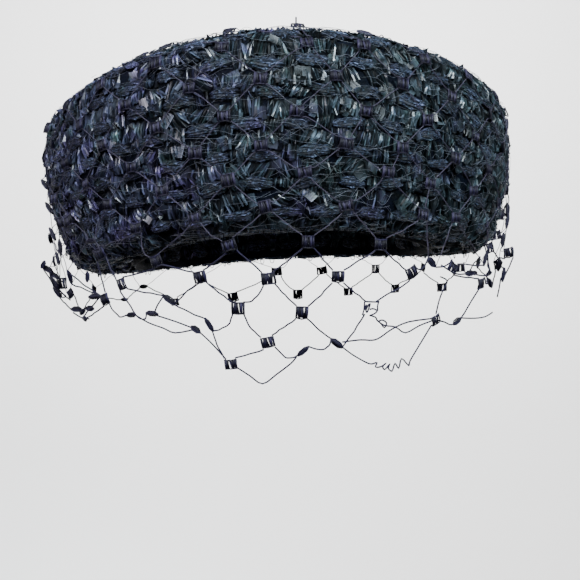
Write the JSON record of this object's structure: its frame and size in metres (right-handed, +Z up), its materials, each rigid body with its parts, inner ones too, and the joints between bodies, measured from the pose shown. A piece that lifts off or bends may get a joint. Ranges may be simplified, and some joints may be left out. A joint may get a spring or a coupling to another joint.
{
  "type": "brimmed hat with net veil",
  "caption": "Navy woven-straw hat with a domed crown, a deep brim turned up all round and a coarse dotted net veil that hangs below its rim in front.",
  "frame": {"origin": "middle of the head opening, level with the crown's lower edge in front", "axes": "+Z up out of the crown, -Y towards the front of the hat, +X towards the wearer's left"},
  "size_m": [0.2532, 0.2612, 0.1711],
  "materials": {
    "straw": "navy woven straw, matt fibrous pads and glossy ribbon folds",
    "net": "dark navy net thread with woven dots, slight sheen"
  },
  "bodies": {
    "root": {"crown": "straw", "brim": "straw", "veil": "net"}
  },
  "joints": []
}
